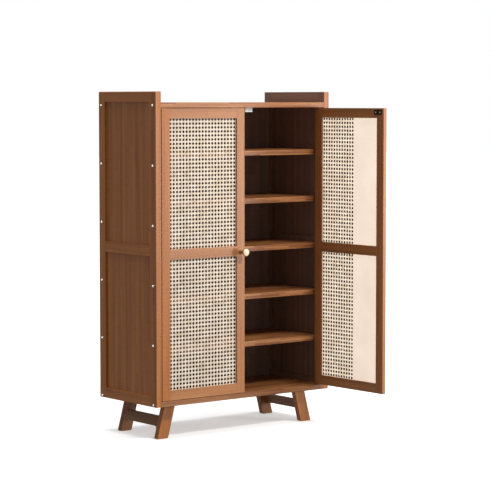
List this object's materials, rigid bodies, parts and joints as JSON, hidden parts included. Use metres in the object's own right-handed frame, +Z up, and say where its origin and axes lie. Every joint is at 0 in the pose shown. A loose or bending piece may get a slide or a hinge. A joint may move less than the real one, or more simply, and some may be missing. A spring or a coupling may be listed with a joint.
{
  "type": "shoe cabinet",
  "caption": "Tall bamboo shoe cabinet with hinged cane-panelled doors, inner shelves, a tray top between its sides and splayed leg frames.",
  "frame": {"origin": "on the floor, in the plane of the cabinet's front face, half way across its width; with one door standing open this is also the middle of the stored footprint", "axes": "+Z up, +Y from the front of the cabinet to its back, +X to the right as seen from the front"},
  "size_m": [0.8, 0.7115, 1.252],
  "materials": {
    "bamboo": "satin lacquered bamboo strips",
    "cane": "natural woven cane webbing",
    "liner": "translucent cream sheet",
    "turned_wood": "satin turned wood",
    "ivory_plastic": "polished ivory-coloured face",
    "white_plastic": "moulded, lightly textured",
    "steel": "zinc plated"
  },
  "bodies": {
    "cabinet": {"left_side_front_stile": "bamboo", "left_side_rear_stile": "bamboo", "left_side_bottom_rail": "bamboo", "left_side_mid_rail": "bamboo", "left_side_top_rail": "bamboo", "left_side_lower_panel": "bamboo", "left_side_upper_panel": "bamboo", "right_side_front_stile": "bamboo", "right_side_rear_stile": "bamboo", "right_side_bottom_rail": "bamboo", "right_side_mid_rail": "bamboo", "right_side_top_rail": "bamboo", "right_side_lower_panel": "bamboo", "right_side_upper_panel": "bamboo", "top_board": "bamboo", "bottom_board": "bamboo", "shelf_1": "bamboo", "shelf_2": "bamboo", "shelf_3": "bamboo", "shelf_4": "bamboo", "shelf_5": "bamboo", "back_panel": "bamboo", "left_catch": "white_plastic", "right_catch": "white_plastic", "left_front_leg": "bamboo", "left_front_leg_stud": "steel", "left_rear_leg": "bamboo", "left_rear_leg_stud": "steel", "right_front_leg": "bamboo", "right_front_leg_stud": "steel", "right_rear_leg": "bamboo", "right_rear_leg_stud": "steel", "left_leg_stretcher": "bamboo", "right_leg_stretcher": "bamboo"},
    "left_door": {"left_door_hinge_stile": "bamboo", "left_door_free_stile": "bamboo", "left_door_bottom_rail": "bamboo", "left_door_mid_rail": "bamboo", "left_door_top_rail": "bamboo", "left_door_lower_cane": "cane", "left_door_upper_cane": "cane", "left_door_bottom_pin": "steel", "left_door_top_pin": "steel", "left_door_strike": "steel", "left_door_knob": "turned_wood", "left_door_knob_face": "ivory_plastic", "left_door_knob_screw": "steel"},
    "right_door": {"right_door_hinge_stile": "bamboo", "right_door_free_stile": "bamboo", "right_door_bottom_rail": "bamboo", "right_door_mid_rail": "bamboo", "right_door_top_rail": "bamboo", "right_door_lower_cane": "cane", "right_door_upper_cane": "cane", "right_door_bottom_pin": "steel", "right_door_top_pin": "steel", "right_door_strike": "steel", "right_door_lower_liner": "liner", "right_door_upper_liner": "liner"}
  },
  "joints": [
    {"name": "left_door_hinge", "type": "hinge", "parent": "cabinet", "child": "left_door", "pos_m": [-0.36, 0.007, 0.669], "axis": [0, 0, -1], "range_deg": [0, 110]},
    {"name": "right_door_hinge", "type": "hinge", "parent": "cabinet", "child": "right_door", "pos_m": [0.36, 0.007, 0.669], "axis": [0, 0, 1], "range_deg": [-91.8, 18.2]}
  ]
}
